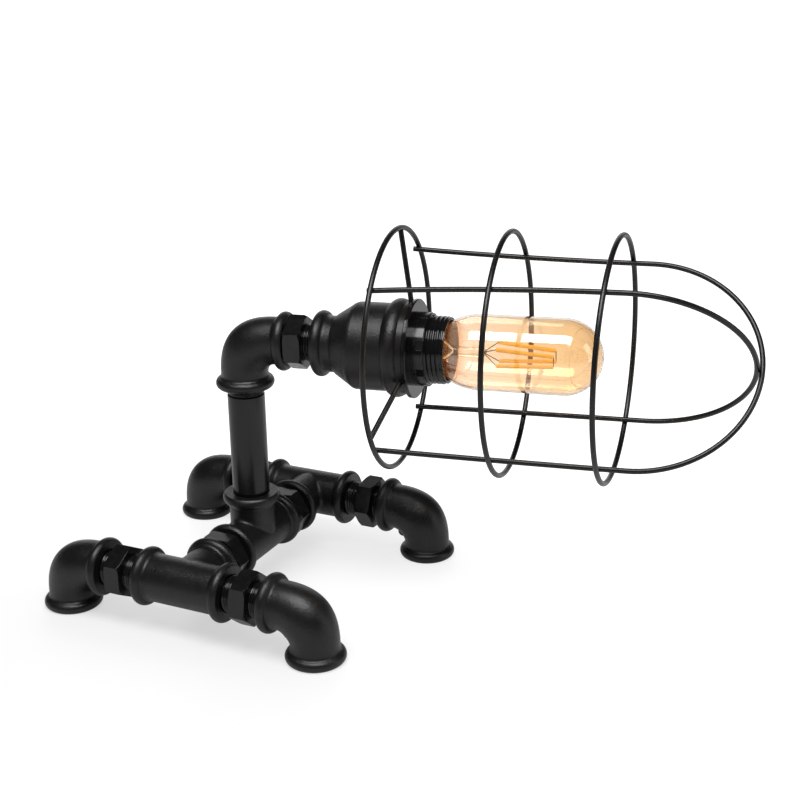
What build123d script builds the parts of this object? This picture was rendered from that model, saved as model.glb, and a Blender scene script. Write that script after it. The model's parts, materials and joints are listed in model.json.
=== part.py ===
from build123d import *

import os
from math import cos, pi, radians, sin, tan

# Table lamp made of black iron pipe fittings, with a caged tubular filament bulb.
#
# Millimetres, +Z up. The origin is on the table, under the axis of the riser pipe.
# X runs along the two foot bars and Y along the spine that joins them. The head points
# along +X, swivelled about the riser by HEAD_PAN and lifted by HEAD_LIFT, the play of its
# threads. Its pieces are drawn by station, the distance from the riser's axis along the
# head's own axis.

# Half-inch fittings
REACH = 28.0                # centre of an elbow or a tee to its face
BODY_R = 13.5
BEAD_R = 16.7               # rolled band round each mouth
BEAD_WIDTH = 5.6
BEAD_FACE_SHARE = 0.55      # the band's height where it meets the face, as a share of the whole
BEAD_BACK_SHARE = 0.45      # and at its back
BEAD_ROOT = 2.0             # length of the hollow between the band and the body
ROOT_RISE = 0.25            # how far that hollow lifts off the body in its middle
MOUTH_CHAMFER = 0.9
THREAD_R = 9.9              # mean radius of a half-inch pipe thread
SOCKET_DEPTH = 16.5
CORE_R = 8.5                # passage between the sockets
BEND_R = 20.0               # centre line of an elbow's passage
BEND_SWELL = 1.1            # growth of an elbow's body at the middle of its bend, all on the outside
BEND_STEPS = 4              # sections that shape that growth
TEE_BRANCH_R = 13.2
TEE_BLEND = 2.5             # cast fillet where the branch leaves the run
STUB_R = 2.4                # casting stub inside the bend of a foot elbow
STUB_REACH = 3.0
OVERLAP = 1.0               # how far a joined or cutting shape runs past the face it meets

# Hexagon nipples
HEX_FLATS = 27.5
HEX_WIDTH = 10.0
HEX_CHAMFER = 1.6
NIPPLE_LENGTH = 44.0
NIPPLE_BORE_R = 7.4
END_CHAMFER = 1.2

# Foot bars and spine
BAR_GAP = 24.0              # between the faces of a foot elbow and a side tee
SPINE_GAP = 15.0            # between the faces of a side tee and the centre tee
BAR_X = 2 * REACH + BAR_GAP
SPINE_Y = 2 * REACH + SPINE_GAP
# Each bar nipple is screwed this much further into its left-hand fitting (-) or its right-hand one (+)
NIPPLE_SHIFT = {"front_left": -1.2, "front_right": 0.0, "back_left": 0.0, "back_right": 2.3}
# and came to rest with its hexagon turned this far about +X
NIPPLE_TURN = {"front_left": 0.0, "front_right": -10.0, "back_left": 0.0, "back_right": -25.0}

# Riser and head
RISER_R = 10.7
RISER_BORE_R = 8.2
RISER_ENGAGED = 13.0
RISER_BOTTOM_THREAD = 0.8   # thread left showing above the centre tee
RISER_TOP_THREAD = 4.0      # thread left showing under the top elbow
SWIVEL_CLEARANCE = 0.05
HEAD_HEIGHT = 149.2
HEAD_PAN = 9.7
HEAD_LIFT = 0.8

# Stations along the head
HEAD_HEX_START = REACH + 0.6
REDUCER_BACK = 45.0
REDUCER_NECK_END = 56.5
REDUCER_CONE_END = 67.8
REDUCER_BAND_START = 88.1
REDUCER_FACE = 96.5
COLLAR_FRONT = REDUCER_FACE + 3.6
FLANGE_FRONT = COLLAR_FRONT + 2.6
HUB_FRONT = 110.5
HOLDER_BACK = 74.0
HOLDER_SHOULDER = 92.0
HOLDER_MOUTH = 121.0
INSERT_BACK = 84.0
INSERT_FLOOR = 88.0
SHELL_FRONT = 108.5
HOOP_STATIONS = {"rear": 91.5, "middle": 152.6, "front": 210.1}
NOSE_STATION = 285.4        # centre line of the outer long wire
CONTACT_BACK = 90.5
CAP_BACK = 96.5
CAP_RIM = 112.0
BULB_TIP = 204.0

# Bell reducer
SMALL_BEAD_R = 18.5
NECK_R = 15.75
NECK_ROUND = 1.5            # length of the round from the neck into the cone
BELL_R = 24.3
BELL_ROUND = 1.8            # length of the round from the cone into the bell
BELL_BAND_R = 27.2
BAND_FACE_SHARE = 0.3
BELL_BORE_R = 20.0
BELL_BORE_START = 70.5
SMALL_SOCKET_DEPTH = 13.5

# Lampholder
HOLDER_THREAD_R = 18.7      # mean radius of the sleeve's outside thread
HOLDER_BORE_R = 16.4
HOLDER_LIP = 0.8
SHELL_R = 13.8
SHELL_WALL = 0.45
SHELL_FLOOR_R = 9.0
SHELL_PROUD = 3.0           # shell in front of the insert's rim
FLEX_BORE_R = 4.0
PLUG_WALL = 2.0
PLUG_LENGTH = 4.0
TERMINAL_SIZE = 5.0
TERMINAL_LENGTH = 6.0       # behind the insert
TERMINAL_SUNK = 2.0
TERMINAL_Y = 8.5
SCREW_R = 1.5
SCREW_HEAD = 1.6
TONGUE_WIDTH = 5.0
TONGUE_THICK = 0.5
TONGUE_FOOT = 6.0
TONGUE_TIP = 2.5            # length of the flat that touches the bulb

# Shade ring and cage
RING_BORE_R = HOLDER_THREAD_R + 0.07
RING_FLANGE_R = 27.3
RING_HUB_R = 20.3
RING_EDGE = 0.5
GRIPS = 8
GRIP_WIDTH = 5.0
GRIP_DEPTH = 0.5
GRIP_LENGTH = 4.5
COLLAR_R = 25.5
COLLAR_BORE_R = 19.3
WIRE_R = 1.45
HOOP_R = 65.4               # centre line
FRONT_HOOP_LEAN = (0.9, -1.5)       # degrees about the head's side and about its up direction
WELD = 0.2                  # how far crossing wires are melted into each other
SPOKE_ANGLES = (80, 210, 330)
# Angles of a long wire's two legs round the axis, at their cut ends and where the nose bend begins
OUTER_WIRE_ENDS, OUTER_WIRE_BEND = (45.6, 222.7), (39.9, 224.8)
INNER_WIRE_ENDS, INNER_WIRE_BEND = (135.4, 309.5), (130.4, 310.0)
WIRE_TAIL = 2.4             # cut end of a long wire behind the rear hoop

# Bulb
BULB_R = 20.7
GLASS_WALL = 0.8
CAP_R = 13.05
CAP_WALL = 0.4
CAP_SLOPE = 1.5             # length of the taper at the back of the cap
# Bevel where the glass insulator is sealed into the back of the cap: (radius, station)
CAP_SEAL = ((CAP_R - CAP_WALL, CAP_BACK + 1.2), (CAP_R - CAP_WALL - 0.6, CAP_BACK + 0.4))
CONTACT_R = 5.0
CONTACT_THICK = 1.5
INSULATOR_R = 6.2
# Outside of the envelope between the cap and the tube: (radius, station)
NECK_HOLLOW, NECK_EDGE = (13.3, 116.5), (14.9, 119.0)
SHOULDER, SHOULDER_EDGE = (18.9, 127.0), (BULB_R, 139.0)
STEM_R = 2.6
STEM_FLARE = 15.0
STEM_TIP = 141.0
FILAMENT_R = 1.1
LEAD_R = 0.25
# Ends of each filament: (side, up) at its two stations
FILAMENT_STATIONS = (147.0, 178.0)
FILAMENT_ENDS = (
    ((3.0, 5.3), (4.0, 1.8)),
    ((-4.0, 3.1), (-3.0, 0.5)),
    ((-3.5, -6.2), (-4.0, -4.7)),
    ((3.5, -5.6), (4.0, -4.2)),
)
FAR_LINKS = ((0, 3), (1, 2))


# ------------------------------------------------------------ helpers

def turned(*path):
    """Solid turned about Z. path holds (radius, station) corners; a pair of them is an arc."""
    edges, here = [], path[0]
    for step in path[1:] + path[:1]:
        via, there = step if isinstance(step[0], tuple) else (None, step)
        ends = [(corner[0], 0, corner[1]) for corner in (here, there)]
        edges.append(ThreePointArc(ends[0], (via[0], 0, via[1]), ends[1]) if via else Line(*ends))
        here = there
    return revolve(make_face(edges), Axis.Z)


def along_x(shape):
    """Lay a shape turned about Z along +X."""
    return Rot(0, 90, 0) * shape


def pillar(radius, length):
    """Solid cylinder standing on the XY plane."""
    return Cylinder(radius, length, align=(Align.CENTER, Align.CENTER, Align.MIN))


def on_head(shape):
    """Carry a shape from the head's own frame, +X along its axis, to its place on the lamp."""
    return Pos(0, 0, HEAD_HEIGHT) * Rot(0, 0, HEAD_PAN) * Rot(0, -HEAD_LIFT, 0) * shape


def round_axis(angle, radius, station):
    """Point at an angle round the head's axis: 0 is its left side, 90 is up."""
    return Vector(station, radius * cos(radians(angle)), radius * sin(radians(angle)))


def wire_along(path, radius):
    """Round wire along a path."""
    return sweep((path ^ 0) * Circle(radius), path=path)


# ------------------------------------------------------------ fittings

def banded_mouth(length):
    """Solid end of a fitting that faces +Z at REACH, with its rolled band."""
    root = REACH - BEAD_WIDTH
    proud = BEAD_R - BODY_R
    return turned(
        (0, REACH), (BODY_R + BEAD_FACE_SHARE * proud, REACH),
        ((BEAD_R, REACH - BEAD_WIDTH / 2), (BODY_R + BEAD_BACK_SHARE * proud, root)),
        ((BODY_R + ROOT_RISE, root - BEAD_ROOT / 2), (BODY_R, root - BEAD_ROOT)),
        (BODY_R, REACH - length), (0, REACH - length))


def socket():
    """Threaded socket to cut from a mouth that faces +Z at REACH."""
    floor, over = REACH - SOCKET_DEPTH, REACH + OVERLAP
    flare = THREAD_R + MOUTH_CHAMFER
    return turned((0, floor), (THREAD_R, floor), (THREAD_R, REACH - MOUTH_CHAMFER), (flare, REACH),
                  (flare, over), (0, over))


def bend_corner(turn):
    """Distance from an elbow's centre to where its bend starts."""
    return BEND_R * tan(radians(turn / 2))


def with_ends(bend, radius, turn):
    """Straight runs joined to both ends of a bend."""
    start = bend_corner(turn)
    end = Pos(0, 0, start) * pillar(radius, REACH - start)
    return bend + Rot(0, turn, 0) * end + Rot(180, 0, 0) * end


def passage(turn):
    """Core of an elbow, from a mouth facing down to one turned from +Z towards +X."""
    start = bend_corner(turn)
    section = Plane(origin=(0, 0, -start), x_dir=(0, 1, 0), z_dir=(0, 0, 1)) * Circle(CORE_R)
    return with_ends(revolve(section, Axis((BEND_R, 0, -start), (0, 1, 0)), turn), CORE_R, turn)


def elbow_body(turn):
    """Outside of an elbow between its bands, fuller over the back of the bend."""
    sections = []
    for step in range(BEND_STEPS + 1):
        swell = BEND_SWELL * sin(pi * step / BEND_STEPS) ** 2
        pivot = Pos(BEND_R, 0, -bend_corner(turn)) * Rot(0, turn * step / BEND_STEPS, 0)
        sections.append(pivot * Pos(-BEND_R - swell, 0, 0) * Circle(BODY_R + swell))
    return with_ends(loft(sections), BODY_R, turn)


def elbow(turn=90.0):
    """Elbow with one mouth facing down and the other turned from +Z towards +X."""
    side, down = Rot(0, turn, 0), Rot(180, 0, 0)
    mouth = banded_mouth(REACH - BEND_R)
    body = elbow_body(turn) + side * mouth + down * mouth
    return body - passage(turn) - side * socket() - down * socket()


def foot_elbow():
    """Elbow that stands on its open mouth, with the casting stub inside its bend."""
    inside = BEND_R - (BEND_R - BODY_R) * cos(radians(45))
    stub = Pos(inside, 0, -inside) * Rot(0, 135, 0) * pillar(STUB_R, STUB_REACH)
    root = Pos(inside, 0, -inside) * Rot(0, -45, 0) * pillar(STUB_R, STUB_REACH)
    return elbow() + (stub + root)


def tee():
    """Tee with its run along X and its branch facing +Z."""
    run = along_x(Cylinder(BODY_R, 2 * (REACH - BEAD_WIDTH)))
    body = run + pillar(TEE_BRANCH_R, REACH - BEAD_WIDTH)
    seam = body.edges().filter_by(GeomType.CIRCLE, reverse=True).filter_by(GeomType.LINE, reverse=True)
    body = fillet(seam, TEE_BLEND)
    turns = (Rot(0, 90, 0), Rot(0, -90, 0), Rot(0, 0, 0))
    for turn in turns:
        body += turn * banded_mouth(BEAD_WIDTH + BEAD_ROOT + OVERLAP)
    for turn in turns:
        body -= turn * (pillar(CORE_R, REACH) + socket())
    return body


def hex_nipple():
    """Nipple along Z with its hexagon in the middle."""
    half, hex_half = NIPPLE_LENGTH / 2, HEX_WIDTH / 2
    corner_r = HEX_FLATS / 3**0.5
    face_r, bevel = corner_r - HEX_CHAMFER, 0.6 * HEX_CHAMFER
    nut = extrude(RegularPolygon(corner_r, 6), hex_half, both=True)
    nut &= turned((0, -hex_half), (face_r, -hex_half), (corner_r, bevel - hex_half),
                  (corner_r, hex_half - bevel), (face_r, hex_half), (0, hex_half))
    end_r = THREAD_R - END_CHAMFER
    stem = turned((0, -half), (end_r, -half), (THREAD_R, END_CHAMFER - half),
                  (THREAD_R, half - END_CHAMFER), (end_r, half), (0, half))
    return nut + stem - Cylinder(NIPPLE_BORE_R, NIPPLE_LENGTH)


def riser_pipe():
    """Upright pipe between the centre tee and the top elbow, threaded at both ends."""
    elbow_face = HEAD_HEIGHT - REACH
    bottom, top = 2 * REACH - RISER_ENGAGED, elbow_face + RISER_ENGAGED
    shoulder, top_shoulder = 2 * REACH + RISER_BOTTOM_THREAD, elbow_face - RISER_TOP_THREAD
    top_r = THREAD_R - SWIVEL_CLEARANCE
    bevel = RISER_R - THREAD_R
    return turned(
        (RISER_BORE_R, bottom), (THREAD_R - END_CHAMFER, bottom), (THREAD_R, bottom + END_CHAMFER),
        (THREAD_R, shoulder), (RISER_R, shoulder + bevel), (RISER_R, top_shoulder - bevel),
        (top_r, top_shoulder), (top_r, top - END_CHAMFER), (top_r - END_CHAMFER, top), (RISER_BORE_R, top))


def bell_reducer():
    """Reducing socket: a half-inch mouth behind, a wide bell with a heavy band in front."""
    small_face_r = (NECK_R + SMALL_BEAD_R) / 2
    small_root = REDUCER_BACK + BEAD_WIDTH
    socket_end = REDUCER_BACK + SMALL_SOCKET_DEPTH
    cone_start, cone_end = REDUCER_NECK_END + NECK_ROUND / 2, REDUCER_CONE_END
    cone_r = NECK_R + 0.9 * NECK_ROUND
    bell_edge_r = BELL_R - 0.9 * BELL_ROUND
    band_face_r = BELL_R + BAND_FACE_SHARE * (BELL_BAND_R - BELL_R)
    band_back_r = BELL_R + 4 * ROOT_RISE
    band_middle = (REDUCER_BAND_START + REDUCER_FACE) / 2
    return turned(
        (THREAD_R + MOUTH_CHAMFER, REDUCER_BACK), (small_face_r, REDUCER_BACK),
        ((SMALL_BEAD_R, REDUCER_BACK + BEAD_WIDTH / 2), (small_face_r, small_root)),
        ((NECK_R + ROOT_RISE, small_root + BEAD_ROOT / 2), (NECK_R, small_root + BEAD_ROOT)),
        (NECK_R, REDUCER_NECK_END - NECK_ROUND / 2),
        ((NECK_R + 0.25 * NECK_ROUND, REDUCER_NECK_END + 0.1 * NECK_ROUND), (cone_r, cone_start)),
        (bell_edge_r, cone_end - BELL_ROUND),
        ((BELL_R - 0.25 * BELL_ROUND, cone_end), (BELL_R, cone_end + BELL_ROUND)),
        (BELL_R, REDUCER_BAND_START - BEAD_ROOT / 2),
        ((BELL_R + ROOT_RISE, REDUCER_BAND_START - BEAD_ROOT / 4), (band_back_r, REDUCER_BAND_START)),
        ((BELL_BAND_R, band_middle), (band_face_r, REDUCER_FACE)),
        (BELL_BORE_R + MOUTH_CHAMFER, REDUCER_FACE), (BELL_BORE_R, REDUCER_FACE - MOUTH_CHAMFER),
        (BELL_BORE_R, BELL_BORE_START), (CORE_R, socket_end + OVERLAP), (CORE_R, socket_end),
        (THREAD_R, socket_end), (THREAD_R, REDUCER_BACK + MOUTH_CHAMFER))


# ------------------------------------------------------------ lampholder, along Z by station

def lampholder_skirt():
    """Moulded sleeve: wide inside the bell, threaded on its outside in front of it."""
    bevel = 0.3 * HOLDER_LIP
    return turned(
        (HOLDER_BORE_R, HOLDER_BACK), (BELL_BORE_R, HOLDER_BACK), (BELL_BORE_R, HOLDER_SHOULDER),
        (HOLDER_THREAD_R, HOLDER_SHOULDER), (HOLDER_THREAD_R, HOLDER_MOUTH - HOLDER_LIP),
        (HOLDER_THREAD_R - HOLDER_LIP, HOLDER_MOUTH), (HOLDER_BORE_R + bevel, HOLDER_MOUTH),
        (HOLDER_BORE_R, HOLDER_MOUTH - bevel))


def lampholder_cap():
    """Rear cap: a cone that seats in the bell and a plug inside the sleeve."""
    cone_start = REDUCER_BACK + SMALL_SOCKET_DEPTH + OVERLAP
    slope = (BELL_BORE_R - CORE_R) / (BELL_BORE_START - cone_start)
    nose = cone_start + PLUG_WALL
    plug_end, plug_bore_r = HOLDER_BACK + PLUG_LENGTH, HOLDER_BORE_R - PLUG_WALL
    return turned(
        (FLEX_BORE_R, nose), (CORE_R + PLUG_WALL * slope, nose), (BELL_BORE_R, BELL_BORE_START),
        (BELL_BORE_R, HOLDER_BACK), (HOLDER_BORE_R, HOLDER_BACK), (HOLDER_BORE_R, plug_end),
        (plug_bore_r, plug_end), (plug_bore_r, BELL_BORE_START), (FLEX_BORE_R, nose + PLUG_WALL))


def terminal_blocks():
    """Two brass blocks sunk in the back of the insert."""
    length = TERMINAL_LENGTH + TERMINAL_SUNK
    block = Pos(0, 0, INSERT_BACK - TERMINAL_LENGTH + length / 2) * Box(TERMINAL_SIZE, TERMINAL_SIZE, length)
    return [Pos(0, side * TERMINAL_Y, 0) * block for side in (-1, 1)]


def terminal_screws():
    """Clamping screws, one on each terminal block."""
    place = Pos(TERMINAL_SIZE / 2, 0, INSERT_BACK - TERMINAL_LENGTH / 2)
    screw = place * Rot(0, 90, 0) * pillar(SCREW_R, SCREW_HEAD)
    return [Pos(0, side * TERMINAL_Y, 0) * screw for side in (-1, 1)]


def lampholder_insert():
    """Insulating cup that holds the screw shell, with pockets for the terminal blocks."""
    rim = SHELL_FRONT - SHELL_PROUD
    cup = turned((0, INSERT_BACK), (HOLDER_BORE_R, INSERT_BACK), (HOLDER_BORE_R, rim), (SHELL_R, rim),
                 (SHELL_R, INSERT_FLOOR), (0, INSERT_FLOOR))
    for block in terminal_blocks():
        cup -= block
    return cup


def screw_shell():
    """Drawn brass shell that the bulb's cap screws into."""
    inner_r, floor = SHELL_R - SHELL_WALL, INSERT_FLOOR + SHELL_WALL
    return turned((SHELL_FLOOR_R, INSERT_FLOOR), (SHELL_R, INSERT_FLOOR), (SHELL_R, SHELL_FRONT),
                  (inner_r, SHELL_FRONT), (inner_r, floor), (SHELL_FLOOR_R, floor))


def centre_contact():
    """Spring tongue from the insert's floor up to the bulb's centre contact."""
    floor, thick = INSERT_FLOOR, TONGUE_THICK
    under = CONTACT_BACK - thick
    right = TONGUE_TIP / 5
    left = right - TONGUE_TIP
    side = Polyline(
        (-TONGUE_FOOT, 0, floor), (TONGUE_FOOT, 0, floor), (TONGUE_FOOT, 0, floor + thick),
        (right, 0, CONTACT_BACK), (left, 0, CONTACT_BACK), (left, 0, under), (right - thick / 2, 0, under),
        (TONGUE_FOOT - 2 * thick, 0, floor + thick), (-TONGUE_FOOT, 0, floor + thick), close=True)
    return extrude(make_face(side), TONGUE_WIDTH / 2, both=True)


# ------------------------------------------------------------ shade ring, along Z by station

def shade_ring():
    """Threaded ring: a flange that clamps the cage's collar and a hub with finger grips."""
    rim, edge = RING_FLANGE_R, RING_EDGE
    ring = turned(
        (RING_BORE_R, COLLAR_FRONT), (rim - edge, COLLAR_FRONT), (rim, COLLAR_FRONT + edge),
        (rim, FLANGE_FRONT - edge), (rim - edge, FLANGE_FRONT), (RING_HUB_R, FLANGE_FRONT),
        (RING_HUB_R, HUB_FRONT - edge), (RING_HUB_R - edge, HUB_FRONT), (RING_BORE_R, HUB_FRONT))
    grip = Pos(RING_HUB_R, 0, HUB_FRONT) * Box(2 * GRIP_DEPTH, GRIP_WIDTH, 2 * GRIP_LENGTH)
    for step in range(GRIPS):
        ring -= Rot(0, 0, (step + 0.5) * 360 / GRIPS) * grip
    return ring


# ------------------------------------------------------------ cage, in the head's frame

def cage_collar():
    """Flat ring held between the reducer and the shade ring."""
    return along_x(turned((COLLAR_BORE_R, REDUCER_FACE), (COLLAR_R, REDUCER_FACE), (COLLAR_R, COLLAR_FRONT),
                          (COLLAR_BORE_R, COLLAR_FRONT)))


def cage_hoop(station, lean=(0, 0)):
    """Wire hoop round the head's axis, leaning by two small angles."""
    return Pos(station, 0, 0) * Rot(0, *lean) * along_x(Torus(HOOP_R, WIRE_R))


def cage_spokes():
    """Three wires from the collar's rim out to the inside of the rear hoop."""
    station = (REDUCER_FACE + COLLAR_FRONT) / 2
    reach = HOOP_R - WIRE_R + WELD
    runs = [Line(round_axis(angle, COLLAR_R - WELD, station), round_axis(angle, reach, HOOP_STATIONS["rear"]))
            for angle in SPOKE_ANGLES]
    return [wire_along(run, WIRE_R) for run in runs]


def cage_wire(ends, bend, nose):
    """Long wire: two legs inside the hoops, curved a little sideways, and a half round over the nose."""
    reach = HOOP_R - 2 * WIRE_R + WELD
    back = HOOP_STATIONS["rear"] - WIRE_TAIL
    cut_ends = [round_axis(angle, reach, back) for angle in ends]
    half_span = (round_axis(bend[0], reach, 0) - round_axis(bend[1], reach, 0)).length / 2
    bend_ends = [round_axis(angle, reach, nose - half_span) for angle in bend]
    tip = (bend_ends[0] + bend_ends[1]) / 2 + Vector(half_span, 0, 0)
    legs = [TangentArc(start, end, tangent=(-1, 0, 0)) for start, end in zip(bend_ends, cut_ends)]
    return wire_along(Wire([legs[0], ThreePointArc(bend_ends[0], tip, bend_ends[1]), legs[1]]), WIRE_R)


# ------------------------------------------------------------ bulb, along Z by station

def bulb_glass():
    """Envelope with a thin wall: a neck, a rounded shoulder, a tube and a domed tip."""
    dome, wall, slant = BULB_TIP - BULB_R, GLASS_WALL, 0.7 * GLASS_WALL
    neck_r, inner_r, diagonal = CAP_R - CAP_WALL, BULB_R - GLASS_WALL, cos(radians(45))
    neck_start, neck_end, shoulder_end = CAP_RIM - 3, CAP_RIM + 1, SHOULDER_EDGE[1]

    def inside(corner):
        """Corner of the inner wall beside a corner of the outer one, on the slope of the shoulder."""
        return (corner[0] - slant, corner[1] + slant)

    return turned(
        (neck_r - wall, neck_start), (neck_r, neck_start), (neck_r, neck_end),
        (NECK_HOLLOW, NECK_EDGE), (SHOULDER, SHOULDER_EDGE), (BULB_R, dome),
        ((BULB_R * diagonal, dome + BULB_R * diagonal), (0, BULB_TIP)), (0, BULB_TIP - wall),
        ((inner_r * diagonal, dome + inner_r * diagonal), (inner_r, dome)), (inner_r, shoulder_end),
        (inside(SHOULDER), inside(NECK_EDGE)),
        ((NECK_HOLLOW[0] - wall, NECK_HOLLOW[1] + slant / 2), (neck_r - wall, neck_end)))


def bulb_cap():
    """Drawn metal screw cap of the bulb."""
    inner_r, taper = CAP_R - CAP_WALL, CAP_SLOPE / 2
    return turned((inner_r, CAP_BACK), (CAP_R - taper, CAP_BACK), (CAP_R, CAP_BACK + CAP_SLOPE),
                  (CAP_R, CAP_RIM), (inner_r, CAP_RIM), *CAP_SEAL)


def bulb_insulator():
    """Dark glass cone between the cap and the centre contact."""
    inner_r, contact_seat, top = CAP_R - CAP_WALL, CONTACT_BACK + CONTACT_THICK, CAP_BACK + 3
    return turned((0, contact_seat), (INSULATOR_R, contact_seat), *reversed(CAP_SEAL),
                  (inner_r, top), (0, top))


def bulb_contact():
    """Solder button of the centre contact."""
    seat, edge = CONTACT_BACK + CONTACT_THICK, 0.3 * CONTACT_THICK
    return turned((0, CONTACT_BACK), (CONTACT_R - CONTACT_THICK, CONTACT_BACK),
                  ((CONTACT_R - edge, CONTACT_BACK + edge), (CONTACT_R, seat)), (0, seat))


def bulb_stem():
    """Glass stem: a flare sealed in the neck, drawn into a rod that carries the filaments."""
    rim_r, rim = CAP_R - CAP_WALL - GLASS_WALL, CAP_RIM - 2
    flare_end, flare_middle = rim + STEM_FLARE, rim + STEM_FLARE / 2
    dome, diagonal = STEM_TIP - STEM_R, STEM_R * cos(radians(45))
    wall = 1.0
    return turned((rim_r, rim), ((STEM_R + 3.2, flare_middle), (STEM_R, flare_end)), (STEM_R, dome),
                  ((diagonal, dome + diagonal), (0, STEM_TIP)), (0, flare_end - 3 * wall),
                  (wall, flare_end - 3 * wall), ((STEM_R + 2.1, flare_middle - wall), (rim_r - wall, rim)))


def filament_point(index, end):
    """Middle of one end of a filament, in the head's frame."""
    side, up = FILAMENT_ENDS[index][end]
    return (FILAMENT_STATIONS[end], side, up)


def filaments():
    """Coated filament strips, drawn as rods."""
    runs = [Line(filament_point(index, 0), filament_point(index, 1)) for index in range(len(FILAMENT_ENDS))]
    return [wire_along(run, FILAMENT_R) for run in runs]


def lead_wires():
    """Leads from the stem to the filaments, and the links across their far ends."""
    seal = (STEM_TIP - 2, 0, 0)
    near = [Line(seal, filament_point(index, 0)) for index in range(len(FILAMENT_ENDS))]
    far = [Line(filament_point(first, 1), filament_point(second, 1)) for first, second in FAR_LINKS]
    return [wire_along(run, LEAD_R) for run in near + far]


# ------------------------------------------------------------ assembly

def base_parts():
    """Four foot elbows and two side tees on nipples, the spine and the riser."""
    parts = {}
    nipple_x = along_x(hex_nipple())
    for row, y in (("front", -SPINE_Y), ("back", SPINE_Y)):
        parts[f"side_tee_{row}"] = Pos(0, y, REACH) * Rot(90 if y > 0 else -90, 0, 0) * tee()
        parts[f"spine_nipple_{row}"] = Pos(0, y / 2, REACH) * Rot(90, 0, 0) * hex_nipple()
        for hand, x in (("left", -BAR_X), ("right", BAR_X)):
            turn = 0 if x < 0 else 180
            name = f"{row}_{hand}"
            parts[f"foot_elbow_{name}"] = Pos(x, y, REACH) * Rot(0, 0, turn) * foot_elbow()
            place = Pos(x / 2 + NIPPLE_SHIFT[name], y, REACH) * Rot(NIPPLE_TURN[name], 0, 0)
            parts[f"bar_nipple_{name}"] = place * nipple_x
    parts["centre_tee"] = Pos(0, 0, REACH) * Rot(0, 0, 90) * tee()
    parts["riser_pipe"] = riser_pipe()
    return parts


def head_parts():
    """Everything the head carries, in the head's own frame."""
    by_station = {
        "bell_reducer": bell_reducer(), "lampholder_skirt": lampholder_skirt(),
        "lampholder_cap": lampholder_cap(), "lampholder_insert": lampholder_insert(),
        "screw_shell": screw_shell(), "centre_contact": centre_contact(),
        "terminal_blocks": Compound(children=terminal_blocks()),
        "terminal_screws": Compound(children=terminal_screws()),
        "shade_ring": shade_ring(), "bulb_glass": bulb_glass(), "bulb_cap": bulb_cap(),
        "bulb_insulator": bulb_insulator(), "bulb_contact": bulb_contact(), "bulb_stem": bulb_stem(),
        "head_nipple": Pos(0, 0, HEAD_HEX_START + HEX_WIDTH / 2) * hex_nipple(),
    }
    parts = {name: along_x(shape) for name, shape in by_station.items()}
    # Its lower mouth stays plumb on the riser while the other one lifts with the head
    parts["top_elbow"] = Rot(0, HEAD_LIFT, 0) * elbow(90 - HEAD_LIFT)
    parts["cage_collar"] = cage_collar()
    parts["cage_spokes"] = Compound(children=cage_spokes())
    for name, station in HOOP_STATIONS.items():
        parts[f"cage_hoop_{name}"] = cage_hoop(station, FRONT_HOOP_LEAN if name == "front" else (0, 0))
    parts["cage_wire_outer"] = cage_wire(OUTER_WIRE_ENDS, OUTER_WIRE_BEND, NOSE_STATION)
    parts["cage_wire_inner"] = cage_wire(INNER_WIRE_ENDS, INNER_WIRE_BEND, NOSE_STATION - 2 * WIRE_R + WELD)
    parts["filaments"] = Compound(children=filaments())
    parts["lead_wires"] = Compound(children=lead_wires())
    return parts


def main():
    os.makedirs("parts", exist_ok=True)
    parts = base_parts()
    parts.update({name: on_head(shape) for name, shape in head_parts().items()})
    for name, shape in parts.items():
        export_step(shape, f"parts/{name}.step")


main()
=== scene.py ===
"""Looks of the pipe lamp: camera, light, materials and the detail that the solids leave out.

Metres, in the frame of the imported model. Stations are distances from the riser's axis
along the head's own axis, which the bulb's joint gives.
"""

import json
from math import cos, pi, radians, sin, tau

import bmesh
import bpy
import numpy as np
from mathutils import Matrix, Vector


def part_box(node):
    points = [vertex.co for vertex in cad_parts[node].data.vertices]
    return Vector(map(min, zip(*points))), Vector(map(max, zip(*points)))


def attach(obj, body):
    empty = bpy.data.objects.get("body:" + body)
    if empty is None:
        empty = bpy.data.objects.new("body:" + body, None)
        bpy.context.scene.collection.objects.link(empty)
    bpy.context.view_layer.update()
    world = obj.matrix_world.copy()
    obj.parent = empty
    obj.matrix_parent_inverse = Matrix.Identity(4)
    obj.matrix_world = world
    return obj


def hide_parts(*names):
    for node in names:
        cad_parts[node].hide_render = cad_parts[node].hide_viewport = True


MM = 0.001

# Camera, solved from the known sizes of the fittings
IMAGE_PX = 800
SENSOR = 36.0
FOCAL_PX = 1450
CAMERA_AT = Vector((0.4240, -0.6645, 0.3907))
CAMERA_YAW = radians(-26.13)
CAMERA_PITCH = radians(19.67)
CAMERA_ROLL = radians(-1.05)

# Half-inch pipe thread and fittings
PIPE_PITCH = 1.814 * MM
THREAD_R = 9.9 * MM
RIDGE_FOOT = 0.04 * MM          # the valleys clear the plain cylinder of the solid by this
RIDGE_HEIGHT = 0.62 * MM
PIPE_THREAD_SINK = 0.3 * MM     # how deep the hidden side of these pieces lies in the solid
SOCKET_THREAD_SINK = 0.2 * MM
HEX_WIDTH = 10.0 * MM
SOCKET_DEPTH = 16.5 * MM
MOUTH_BEVEL = 1.2 * MM
RISER_THREAD_LENGTH = 3.9 * MM  # thread left showing under the top elbow
SWIVEL_GAP = 0.05 * MM          # it stops this far below the elbow, which turns over it

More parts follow.
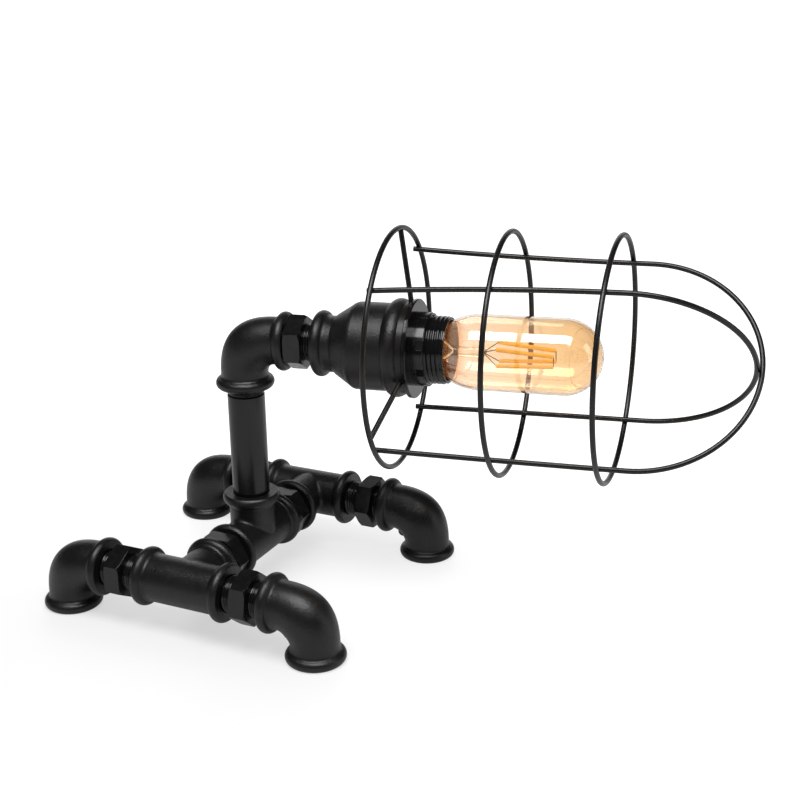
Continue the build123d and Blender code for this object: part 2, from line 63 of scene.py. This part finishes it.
# Lampholder and bulb
SLEEVE_PITCH = 2.45 * MM
SLEEVE_ROOT_R = 18.0 * MM
SLEEVE_CREST_R = 18.7 * MM
SLEEVE_LIP_R = 18.1 * MM
SLEEVE_BORE_R = 16.4 * MM
BELL_BORE_R = 20.0 * MM
SHOULDER_BEHIND_RING = 7.5 * MM     # the sleeve's shoulder is this far behind the shade ring, in the bell
CAP_R = 13.05 * MM
CAP_PITCH = 3.63 * MM
CAP_DEPTH = 0.85 * MM
CAP_WALL = 0.4 * MM

# Meshes
STEPS_ROUND = 96
ROWS_PER_TURN = 12
RIDGE_FULLNESS = 0.8            # below 1 rounds the crests and narrows the valleys
SHARP_ON_NODES = radians(32)
SHARP_ON_PIECES = radians(38)

# Floor. Its glow is seen but lights nothing, and grows from low to high over GLOW_REACH from FLOOR_MIDDLE, in
# front of the base: painted light that lifts the shadow inside and behind the base and keeps it in front
FLOOR_HALF = 8.0
FLOOR_COLOUR = 0.34
FLOOR_MIDDLE = (-0.02, -0.16, 0.0)
GLOW_REACH = (0.08, 0.5)
FLOOR_GLOW = (0.56, 1.0)
FLOOR_MIRRORED = 0.3            # share of the glow that shows in reflections

# Room and lamps
AMBIENT = 0.4
ROOM_DARK = 0.03
WHITE_BEHIND = (0.80, 0.98)     # cosines from the view's heading between which the room turns white
KEY_ELEVATION = radians(68)
KEY_STATION = 0.16              # near the middle of the bulb, which the key softbox faces


# ------------------------------------------------------------ frame

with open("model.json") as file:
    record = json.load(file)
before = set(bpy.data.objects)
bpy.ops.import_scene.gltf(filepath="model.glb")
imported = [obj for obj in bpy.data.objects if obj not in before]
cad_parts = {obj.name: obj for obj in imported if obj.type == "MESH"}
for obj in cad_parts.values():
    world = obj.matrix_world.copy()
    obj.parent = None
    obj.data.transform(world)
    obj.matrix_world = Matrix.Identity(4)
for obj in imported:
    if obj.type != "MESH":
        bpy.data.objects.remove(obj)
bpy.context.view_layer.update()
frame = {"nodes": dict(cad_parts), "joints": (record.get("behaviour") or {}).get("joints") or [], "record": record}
nodes = frame["nodes"]
joints = {joint["name"]: joint for joint in frame["joints"]}
UP = Vector((0, 0, 1))
HEAD_AXIS = Vector(joints["bulb_unscrew"]["axis"]).normalized()
HEAD_SIDE = UP.cross(HEAD_AXIS).normalized()
HEAD_UP = HEAD_AXIS.cross(HEAD_SIDE)
# The rear hoop is centred on the head's axis; the origin is where that axis passes the riser's
hoop_centre = sum(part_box("cage_hoop_rear"), Vector()) / 2
HEAD_ORIGIN = hoop_centre - HEAD_AXIS * (hoop_centre.x / HEAD_AXIS.x)


def stations(node):
    """Lowest and highest station of a head node."""
    values = [HEAD_AXIS.dot(vertex.co - HEAD_ORIGIN) for vertex in nodes[node].data.vertices]
    return min(values), max(values)


def on_head(station):
    """Point on the head's axis."""
    return HEAD_ORIGIN + HEAD_AXIS * station


# ------------------------------------------------------------ mesh helpers

def new_piece(name, vertices, faces, material, body):
    """Smooth-shaded mesh piece that rides on a body."""
    mesh = bpy.data.meshes.new(name)
    mesh.from_pydata([tuple(vertex) for vertex in vertices], [], faces)
    shape = bmesh.new()
    shape.from_mesh(mesh)
    bmesh.ops.remove_doubles(shape, verts=shape.verts, dist=0.001 * MM)
    bmesh.ops.recalc_face_normals(shape, faces=shape.faces)
    shape.to_mesh(mesh)
    shape.free()
    mesh.shade_smooth()
    mesh.set_sharp_from_angle(angle=SHARP_ON_PIECES)
    piece = bpy.data.objects.new(name, mesh)
    bpy.context.scene.collection.objects.link(piece)
    mesh.materials.append(material)
    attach(piece, body)
    return piece


def across(axis):
    """Two unit directions square to an axis and to each other."""
    helper = UP if abs(axis.z) < 0.9 else Vector((1, 0, 0))
    first = helper.cross(axis).normalized()
    return first, axis.cross(first)


def grid_faces(rows, columns, close_rows):
    """Quads of a grid that closes round its columns, and round its rows if asked."""
    faces = []
    for row in range(rows if close_rows else rows - 1):
        below, above = row * columns, (row + 1) % rows * columns
        for column in range(columns):
            after = (column + 1) % columns
            faces.append((below + column, below + after, above + after, above + column))
    return faces


def turned_piece(name, origin, axis, section, material, body):
    """Closed piece of revolution. section goes once round its outline in (distance, radius) pairs.

    A radius may also be an array with one value for each step round.
    """
    first, second = (np.array(direction) for direction in across(axis))
    angles = np.arange(STEPS_ROUND) * tau / STEPS_ROUND
    ring = np.cos(angles)[:, None] * first + np.sin(angles)[:, None] * second
    rows = [np.array(origin + axis * distance) + ring * np.broadcast_to(radius, STEPS_ROUND)[:, None]
            for distance, radius in section]
    faces = grid_faces(len(rows), STEPS_ROUND, True)
    return new_piece(name, np.concatenate(rows), faces, material, body)


def thread_rows(start, end, root, crest, pitch, fade_turns=0.5):
    """Section rows of a rounded screw thread from start to end; it fades in and out at both."""
    turn = np.arange(STEPS_ROUND) / STEPS_ROUND
    rows = []
    for distance in np.linspace(start, end, max(4, int((end - start) / pitch * ROWS_PER_TURN))):
        fade = min(1.0, min(distance - start, end - distance) / pitch / fade_turns)
        ridge = (0.5 - 0.5 * np.cos(tau * (distance / pitch - turn))) ** RIDGE_FULLNESS
        rows.append((distance, root + (crest - root) * fade * ridge))
    return rows


# ------------------------------------------------------------ materials

def map_range(tree, value, start, end, low, high, smooth=False):
    """Output that spreads a value from start to end over low to high."""
    made = tree.nodes.new("ShaderNodeMapRange")
    made.interpolation_type = "SMOOTHSTEP" if smooth else "LINEAR"
    for socket, number in (("From Min", start), ("From Max", end), ("To Min", low), ("To Max", high)):
        made.inputs[socket].default_value = number
    tree.links.new(value, made.inputs["Value"])
    return made.outputs["Result"]


class Shader:
    """Node material with one Principled shader, and short calls for the nodes that feed it."""

    def __init__(self, name, **values):
        self.material = bpy.data.materials.new(name)
        self.material.use_nodes = True
        self.tree = self.material.node_tree
        self.surface = self.tree.nodes["Principled BSDF"]
        for socket, value in values.items():
            self.surface.inputs[socket.replace("_", " ")].default_value = value
        self.place = self.node("ShaderNodeTexCoord").outputs["Object"]

    def node(self, kind, **settings):
        made = self.tree.nodes.new(kind)
        for key, value in settings.items():
            setattr(made, key, value)
        return made

    def link(self, output, socket):
        self.tree.links.new(output, socket)

    def noise(self, size, detail=3.0, roughness=0.55, stretch=None):
        """Noise with features of about that size, in metres. stretch scales each axis."""
        made = self.node("ShaderNodeTexNoise")
        made.inputs["Scale"].default_value = 1 / size
        made.inputs["Detail"].default_value = detail
        made.inputs["Roughness"].default_value = roughness
        place = self.place
        if stretch:
            mapping = self.node("ShaderNodeMapping")
            mapping.inputs["Scale"].default_value = stretch
            self.link(place, mapping.inputs["Vector"])
            place = mapping.outputs["Vector"]
        self.link(place, made.inputs["Vector"])
        return made.outputs["Fac"]

    def spread(self, value, low, high, start=0.3, end=0.7):
        """Value from start to end spread over low to high."""
        return map_range(self.tree, value, start, end, low, high)

    def ramp(self, value, *stops):
        """Colour ramp of (position, colour) stops."""
        made = self.node("ShaderNodeValToRGB")
        elements = made.color_ramp.elements
        while len(elements) < len(stops):
            elements.new(0.5)
        for element, (position, colour) in zip(elements, stops):
            element.position = position
            element.color = (*colour, 1)
        self.link(value, made.inputs["Fac"])
        return made.outputs["Color"]

    def colour(self, output):
        self.link(output, self.surface.inputs["Base Color"])

    def rough(self, output):
        self.link(output, self.surface.inputs["Roughness"])

    def rounded_edges(self, radius):
        """Normal that rounds the edges of a piece by that much."""
        made = self.node("ShaderNodeBevel", samples=6)
        made.inputs["Radius"].default_value = radius
        return made.outputs["Normal"]

    def bump(self, *layers, normal=None):
        """Bump from (height output, depth in metres) layers, one on another."""
        for height, depth in layers:
            made = self.node("ShaderNodeBump")
            made.inputs["Distance"].default_value = depth
            self.link(height, made.inputs["Height"])
            if normal:
                self.link(normal, made.inputs["Normal"])
            normal = made.outputs["Normal"]
        self.link(normal, self.surface.inputs["Normal"])


def grey(level, warmth=0.0):
    """Near-neutral colour of that level."""
    return (level * (1 + warmth), level, level * (1 - warmth))


def cast_paint():
    """Satin black paint over the sandy skin of a casting."""
    made = Shader("cast_paint", Specular_IOR_Level=0.5)
    made.colour(made.ramp(made.noise(14 * MM, 3), (0.3, grey(0.005, 0.04)), (0.7, grey(0.009, 0.04))))
    made.rough(made.spread(made.noise(9 * MM, 4), 0.26, 0.35))
    made.bump((made.noise(7 * MM, 2), 0.12 * MM), (made.noise(1.1 * MM, 4, 0.75), 0.20 * MM))
    return made.material


def pipe_paint():
    """Satin black paint on smooth drawn pipe, with faint lengthwise streaks."""
    made = Shader("pipe_paint", Specular_IOR_Level=0.5)
    streaks = made.noise(1.2 * MM, 3, stretch=(1, 1, 0.06))
    made.colour(made.ramp(made.noise(12 * MM), (0.3, grey(0.004, 0.04)), (0.7, grey(0.008, 0.04))))
    made.rough(made.spread(streaks, 0.18, 0.26))
    made.bump((made.noise(7 * MM, 2), 0.05 * MM), (made.noise(0.5 * MM), 0.004 * MM))
    return made.material


def machined_paint(name, edge_radius=0.0):
    """Glossier black on machined hexagons and threads."""
    made = Shader(name, Specular_IOR_Level=0.5)
    made.colour(made.ramp(made.noise(4 * MM, 3), (0.35, grey(0.004)), (0.75, grey(0.008, 0.03))))
    made.rough(made.spread(made.noise(3 * MM, 3), 0.14, 0.22))
    edges = made.rounded_edges(edge_radius) if edge_radius else None
    made.bump((made.noise(5 * MM, 2), 0.05 * MM), normal=edges)
    return made.material


def wire_paint():
    """Satin black powder coat on drawn wire, with a slight orange peel."""
    made = Shader("wire_paint", Specular_IOR_Level=0.5)
    made.colour(made.ramp(made.noise(8 * MM), (0.3, grey(0.004, 0.15)), (0.7, grey(0.007, 0.2))))
    made.rough(made.spread(made.noise(2 * MM), 0.28, 0.36))
    made.bump((made.noise(1.6 * MM, 2), 0.010 * MM))
    return made.material


def moulded_black(name, roughness):
    """Gloss black moulding with a faint flow waviness."""
    made = Shader(name, Specular_IOR_Level=0.5)
    made.colour(made.ramp(made.noise(10 * MM), (0.3, grey(0.003)), (0.7, grey(0.006))))
    made.rough(made.spread(made.noise(4 * MM, 4), roughness, roughness + 0.06))
    made.bump((made.noise(9 * MM, 2), 0.04 * MM), normal=made.rounded_edges(0.2 * MM))
    return made.material


def porcelain():
    """Glazed white insulator with small specks."""
    made = Shader("porcelain", Coat_Weight=0.6, Coat_Roughness=0.08)
    made.colour(made.ramp(made.noise(0.8 * MM, 2), (0.27, (0.5, 0.46, 0.4)), (0.34, (0.84, 0.82, 0.77))))
    made.rough(made.spread(made.noise(3 * MM), 0.18, 0.3))
    made.bump((made.noise(2 * MM), 0.03 * MM))
    return made.material


def brass(name, dull):
    """Drawn brass with a light tarnish."""
    made = Shader(name, Metallic=1.0)
    made.colour(made.ramp(made.noise(3 * MM, 5), (0.3, (0.50, 0.31, 0.12)), (0.7, (0.84, 0.61, 0.30))))
    made.rough(made.spread(made.noise(1 * MM, 4), dull, dull + 0.15))
    made.bump((made.noise(0.6 * MM), 0.01 * MM))
    return made.material


def grey_metal(name, low, high, roughness):
    """Plain grey metal: plated screws, solder and lead wire."""
    made = Shader(name, Metallic=1.0)
    made.colour(made.ramp(made.noise(1.5 * MM, 4), (0.3, grey(low, 0.03)), (0.7, grey(high, 0.02))))
    made.rough(made.spread(made.noise(0.8 * MM, 3), roughness, roughness + 0.15))
    made.bump((made.noise(0.5 * MM), 0.01 * MM))
    return made.material


def head_station(made):
    """Output with a point's station along the head, in metres."""
    dot = made.node("ShaderNodeVectorMath", operation="DOT_PRODUCT")
    made.link(made.place, dot.inputs[0])
    dot.inputs[1].default_value = HEAD_AXIS
    return dot.outputs["Value"]


def amber_glass():
    """Blown glass with a thin amber coating, painted darker in its neck as shade inside the holder, and darker
    towards the tip.

    Its faint glow is painted light: the bulb is not lit.
    """
    # painted glow: the emission strength and colour below light the unlit bulb's glass
    made = Shader("amber_glass", Transmission_Weight=1.0, IOR=1.52, Roughness=0.0,
                  Coat_Weight=1.0, Coat_Roughness=0.0, Coat_IOR=1.6, Emission_Strength=0.02)
    made.surface.inputs["Emission Color"].default_value = (1.0, 0.42, 0.18, 1)
    low, high = stations("bulb_glass")
    mouth = (stations("lampholder_skirt")[1] - low) / (high - low)
    along = made.spread(head_station(made), 0, 1, low, high)
    # the deep amber from the holder's mouth inwards is painted shade of the neck inside the holder
    made.colour(made.ramp(along, (mouth, (0.72, 0.34, 0.07)), (mouth + 0.07, (0.93, 0.78, 0.65)),
                          (0.5, (0.91, 0.75, 0.58)), (0.75, (0.89, 0.72, 0.51)), (1.0, (0.85, 0.66, 0.43))))
    made.bump((made.noise(14 * MM, 2), 0.10 * MM))
    return made.material


def clear_glass():
    """Clear glass of the stem, with fine draw lines."""
    made = Shader("clear_glass", Transmission_Weight=1.0, IOR=1.45, Roughness=0.02)
    made.colour(made.ramp(made.noise(4 * MM), (0.3, (0.96, 0.93, 0.86)), (0.7, (1.0, 0.98, 0.94))))
    made.bump((made.noise(3 * MM), 0.08 * MM))
    return made.material


def black_glass():
    """Vitrite insulator of the bulb's cap."""
    made = Shader("black_glass", Specular_IOR_Level=0.5)
    made.colour(made.ramp(made.noise(2 * MM), (0.3, (0.012, 0.010, 0.014)), (0.7, (0.03, 0.024, 0.03))))
    made.rough(made.spread(made.noise(2 * MM), 0.1, 0.25))
    made.bump((made.noise(2 * MM), 0.05 * MM))
    return made.material


def filament_coating():
    """Yellow silicone with phosphor on a filament strip, slightly lumpy. Its glow is painted light: the bulb is
    not lit.
    """
    # painted glow: this emission stands in for light that the glass keeps from the filaments
    made = Shader("filament_coating", Specular_IOR_Level=0.3, Emission_Strength=0.25)
    made.surface.inputs["Emission Color"].default_value = (1.0, 0.50, 0.05, 1)
    made.colour(made.ramp(made.noise(1.2 * MM), (0.3, (0.98, 0.58, 0.05)), (0.7, (1.0, 0.70, 0.10))))
    made.rough(made.spread(made.noise(1 * MM), 0.45, 0.6))
    made.bump((made.noise(0.9 * MM), 0.05 * MM))
    return made.material


MATERIALS = {
    "cast_fitting": cast_paint(),
    "nipple": machined_paint("hexagon_paint", 0.45 * MM),
    "thread": machined_paint("thread_paint"),
    "pipe": pipe_paint(),
    "cage_wire": wire_paint(),
    "lampholder": moulded_black("sleeve_moulding", 0.09),
    "shade_ring": moulded_black("ring_moulding", 0.10),
    "porcelain": porcelain(),
    "brass": brass("drawn_brass", 0.22),
    "steel_screw": grey_metal("plated_steel", 0.45, 0.62, 0.25),
    "bulb_glass": amber_glass(),
    "stem_glass": clear_glass(),
    "bulb_cap": brass("cap_brass", 0.15),
    "black_glass": black_glass(),
    "solder": grey_metal("solder", 0.4, 0.58, 0.35),
    "filament": filament_coating(),
    "lead_wire": grey_metal("lead_wire", 0.05, 0.14, 0.35),
}


def dress_nodes():
    """Each CAD node gets the material of its slot and smooth shading."""
    slot_of = {part["node"]: part["material_slot"] for part in frame["record"]["subparts"]}
    for name, node in nodes.items():
        node.data.materials.clear()
        node.data.materials.append(MATERIALS[slot_of[name]])
        node.data.shade_smooth()
        node.data.set_sharp_from_angle(angle=SHARP_ON_NODES)


# ------------------------------------------------------------ threads

def pipe_thread(name, origin, axis, start, end, body):
    """Visible turns of a half-inch thread, standing on the plain cylinder of the solid."""
    inner, root = THREAD_R - PIPE_THREAD_SINK, THREAD_R + RIDGE_FOOT
    section = [(start, inner)]
    section += thread_rows(start, end, root, THREAD_R + RIDGE_HEIGHT, PIPE_PITCH)
    section.append((end, inner))
    return turned_piece(name, origin, axis, section, MATERIALS["thread"], body)


def nipple_threads(nipple, axis, lower, upper):
    """Turns on both sides of a nipple's hexagon, up to the fittings lower and upper along axis."""
    low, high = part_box(nipple)
    centre = (low + high) / 2
    middle = axis.dot(centre)
    start = max(axis.dot(corner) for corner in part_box(lower))
    end = min(axis.dot(corner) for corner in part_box(upper))
    origin = centre - axis * middle
    for side, first, last in (("a", start, middle - HEX_WIDTH / 2), ("b", middle + HEX_WIDTH / 2, end)):
        if last - first > PIPE_PITCH / 2:
            pipe_thread(f"thread_{nipple}_{side}", origin, axis, first, last, "base")


def base_threads():
    """Turns that show between the hexagons and the fittings of the base."""
    along, inward = Vector((1, 0, 0)), Vector((0, 1, 0))
    for row in ("front", "back"):
        nipple_threads(f"bar_nipple_{row}_left", along, f"foot_elbow_{row}_left", f"side_tee_{row}")
        nipple_threads(f"bar_nipple_{row}_right", along, f"side_tee_{row}", f"foot_elbow_{row}_right")
    nipple_threads("spine_nipple_front", inward, "side_tee_front", "centre_tee")
    nipple_threads("spine_nipple_back", inward, "centre_tee", "side_tee_back")


def head_threads():
    """Turns on the head nipple, and on the riser under the top elbow."""
    low, high = stations("head_nipple")
    hexagon_front = (low + high) / 2 + HEX_WIDTH / 2
    reducer_back = stations("bell_reducer")[0]
    pipe_thread("thread_head_nipple", HEAD_ORIGIN, HEAD_AXIS, hexagon_front, reducer_back, "head")
    elbow_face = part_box("top_elbow")[0].z
    start, end = elbow_face - RISER_THREAD_LENGTH, elbow_face - SWIVEL_GAP
    pipe_thread("thread_riser_top", Vector(), UP, start, end, "base")


def socket_thread(name, centre, axis, depth, body):
    """Turns cut in an open socket; axis points out of its mouth, at centre."""
    outer, root = THREAD_R + SOCKET_THREAD_SINK, THREAD_R - RIDGE_FOOT
    section = [(-depth, outer)]
    section += thread_rows(-depth, -MOUTH_BEVEL, root, THREAD_R - RIDGE_HEIGHT, PIPE_PITCH)
    section.append((-MOUTH_BEVEL, outer))
    return turned_piece(name, centre, axis, section, MATERIALS["cast_fitting"], body)


def foot_threads():
    """Turns in the open mouths that the lamp stands on."""
    for mount in frame["record"]["mounts"]:
        if mount["kind"] == "flat_face":
            socket_thread("thread_" + mount["name"], Vector(mount["pos_m"]), -UP, SOCKET_DEPTH, "base")


def holder_sleeve():
    """The lampholder's sleeve with the thread that the shade ring runs on."""
    back, mouth = stations("lampholder_skirt")
    shoulder = stations("shade_ring")[0] - SHOULDER_BEHIND_RING
    lip, bead = 0.5 * MM, 0.9 * MM
    section = [(back, SLEEVE_BORE_R), (back, BELL_BORE_R), (shoulder, BELL_BORE_R), (shoulder, SLEEVE_ROOT_R)]
    section += thread_rows(shoulder + lip, mouth - bead, SLEEVE_ROOT_R, SLEEVE_CREST_R, SLEEVE_PITCH)
    section += [(mouth - bead, SLEEVE_LIP_R), (mouth - lip / 2, SLEEVE_LIP_R), (mouth, SLEEVE_LIP_R - lip),
                (mouth, SLEEVE_BORE_R + lip), (mouth - lip, SLEEVE_BORE_R)]
    material = MATERIALS["lampholder"]
    sleeve = turned_piece("holder_sleeve", HEAD_ORIGIN, HEAD_AXIS, section, material, "head")
    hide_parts("lampholder_skirt")


def bulb_screw_cap():
    """The bulb's cap with its rolled thread."""
    back, rim = stations("bulb_cap")
    root, chamfer, chamfer_length = CAP_R - CAP_DEPTH, 1.4 * MM, 1.0 * MM
    thread_start, thread_end = back + 2.0 * MM, rim - 3.2 * MM
    skirt_start, skirt_full, skirt_step = rim - 2.9 * MM, rim - 2.5 * MM, 0.1 * MM
    outside = [(back, CAP_R - chamfer), (back + chamfer_length, root)]
    outside += thread_rows(thread_start, thread_end, root, CAP_R, CAP_PITCH)
    outside += [(skirt_start, CAP_R - skirt_step), (skirt_full, CAP_R), (rim, CAP_R)]
    inside = [(distance, radius - CAP_WALL) for distance, radius in reversed(outside)]
    material = MATERIALS["bulb_cap"]
    section = outside + inside
    cap = turned_piece("bulb_screw_cap", HEAD_ORIGIN, HEAD_AXIS, section, material, "bulb")
    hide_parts("bulb_cap")


# ------------------------------------------------------------ camera, light and stage

def set_camera():
    """Camera at the photograph's viewpoint."""
    heading = Vector((sin(CAMERA_YAW), cos(CAMERA_YAW), 0))
    forward = heading * cos(CAMERA_PITCH) - UP * sin(CAMERA_PITCH)
    level = Vector((cos(CAMERA_YAW), -sin(CAMERA_YAW), 0))
    upright = level.cross(forward)
    right = level * cos(CAMERA_ROLL) + upright * sin(CAMERA_ROLL)
    top = upright * cos(CAMERA_ROLL) - level * sin(CAMERA_ROLL)
    data = bpy.data.cameras.new("camera")
    data.sensor_width = SENSOR
    data.lens = FOCAL_PX * SENSOR / IMAGE_PX
    data.clip_start, data.clip_end = 0.01, 20
    camera = bpy.data.objects.new("camera", data)
    bpy.context.scene.collection.objects.link(camera)
    camera.matrix_world = Matrix.Translation(CAMERA_AT) @ Matrix((right, top, -forward)).transposed().to_4x4()
    bpy.context.scene.camera = camera


def softbox(name, target, direction, distance, size, radiance, along=UP):
    """Rectangular lamp that faces a target from a direction; its width runs along the given line."""
    data = bpy.data.lights.new(name, "AREA")
    data.shape = "RECTANGLE"
    data.size, data.size_y = size
    data.energy = radiance * pi * size[0] * size[1]
    lamp = bpy.data.objects.new(name, data)
    bpy.context.scene.collection.objects.link(lamp)
    back = direction.normalized()
    height = back.cross(along).normalized()
    width = height.cross(back)
    turn = Matrix((width, height, back)).transposed().to_4x4()
    lamp.matrix_world = Matrix.Translation(target + back * distance) @ turn
    lamp.visible_camera = False
    return lamp


def combine(tree, operation, first, second):
    """Output of a maths node on two outputs."""
    made = tree.nodes.new("ShaderNodeMath")
    made.operation = operation
    tree.links.new(first, made.inputs[0])
    tree.links.new(second, made.inputs[1])
    return made.outputs[0]


def seen_rays(tree, rays):
    """Output that is 1 for what the camera sees, straight or through glass."""
    return combine(tree, "MAXIMUM", rays.outputs["Is Camera Ray"], rays.outputs["Is Transmission Ray"])


def white_world():
    """Room that shows as white, is white low behind the lamp and dark elsewhere in reflections."""
    world = bpy.data.worlds.new("studio")
    bpy.context.scene.world = world
    world.use_nodes = True
    tree = world.node_tree
    rays = tree.nodes.new("ShaderNodeLightPath")
    direction = tree.nodes.new("ShaderNodeTexCoord").outputs["Generated"]
    dot = tree.nodes.new("ShaderNodeVectorMath")
    dot.operation = "DOT_PRODUCT"
    tree.links.new(direction, dot.inputs[0])
    dot.inputs[1].default_value = (sin(CAMERA_YAW), cos(CAMERA_YAW), 0)
    mirrored = map_range(tree, dot.outputs["Value"], *WHITE_BEHIND, ROOM_DARK, 1.0, smooth=True)
    seen = seen_rays(tree, rays)
    glossy = combine(tree, "MULTIPLY", rays.outputs["Is Glossy Ray"], mirrored)
    shown = combine(tree, "MAXIMUM", seen, glossy)
    ambient = map_range(tree, rays.outputs["Is Diffuse Ray"], 0, 1, 0, AMBIENT)
    background = tree.nodes["Background"]
    background.inputs["Color"].default_value = (1, 1, 1, 1)
    tree.links.new(combine(tree, "MAXIMUM", shown, ambient), background.inputs["Strength"])


def pale_floor():
    """Pale floor that shows as white; its glow is painted light that keeps the object's shadow in front of the
    base and lifts it further off.
    """
    material = bpy.data.materials.new("floor_paper")
    material.use_nodes = True
    tree = material.node_tree
    surface = tree.nodes["Principled BSDF"]
    surface.inputs["Base Color"].default_value = (*grey(FLOOR_COLOUR), 1)
    surface.inputs["Roughness"].default_value = 0.9
    surface.inputs["Specular IOR Level"].default_value = 0.0
    surface.inputs["Emission Color"].default_value = (1, 1, 1, 1)
    rays = tree.nodes.new("ShaderNodeLightPath")
    length = tree.nodes.new("ShaderNodeVectorMath")
    length.operation = "DISTANCE"
    length.inputs[1].default_value = FLOOR_MIDDLE
    tree.links.new(tree.nodes.new("ShaderNodeNewGeometry").outputs["Position"], length.inputs[0])
    # painted light: the glow is lowest at FLOOR_MIDDLE, in front of the base, and lifts the shadow further off
    glow = map_range(tree, length.outputs["Value"], *GLOW_REACH, *FLOOR_GLOW, smooth=True)
    seen = seen_rays(tree, rays)
    glossy = map_range(tree, rays.outputs["Is Glossy Ray"], 0, 1, 0, FLOOR_MIRRORED)
    seen = combine(tree, "MAXIMUM", seen, glossy)
    tree.links.new(combine(tree, "MULTIPLY", seen, glow), surface.inputs["Emission Strength"])
    corners = [(x * FLOOR_HALF, y * FLOOR_HALF, 0) for x, y in ((-1, -1), (1, -1), (1, 1), (-1, 1))]
    mesh = bpy.data.meshes.new("floor")
    mesh.from_pydata(corners, [], [(0, 1, 2, 3)])
    mesh.materials.append(material)
    floor = bpy.data.objects.new("floor", mesh)
    bpy.context.scene.collection.objects.link(floor)


def set_light():
    """A large softbox over the camera's side, weaker ones in front, behind and at the side, and the room.

    The back one softens the shadows only: it doesn't show in reflections.
    """
    over = -HEAD_SIDE * cos(KEY_ELEVATION) + HEAD_UP * sin(KEY_ELEVATION)
    softbox("key_softbox", target=on_head(KEY_STATION), direction=over,
            distance=0.95, size=(0.8, 0.5), radiance=8.0, along=HEAD_AXIS)
    softbox("front_softbox", target=Vector((0, 0, 0.08)), direction=Vector((-0.25, -1.0, 0.62)),
            distance=1.3, size=(1.0, 0.5), radiance=0.35)
    back = softbox("back_softbox", target=Vector((0, 0, 0.05)), direction=Vector((-0.45, 0.8, 0.95)),
                   distance=1.3, size=(0.8, 0.5), radiance=3.5)
    back.visible_glossy = False
    softbox("side_softbox", target=Vector((0.08, -0.05, 0.05)), direction=Vector((1.0, 0.25, 0.30)),
            distance=1.2, size=(0.9, 0.35), radiance=1.4)
    white_world()
    pale_floor()


# ------------------------------------------------------------ the scene

def main():
    scene = bpy.context.scene
    scene.view_settings.view_transform = "Standard"
    dress_nodes()
    base_threads()
    head_threads()
    foot_threads()
    holder_sleeve()
    bulb_screw_cap()
    set_camera()
    set_light()


main()
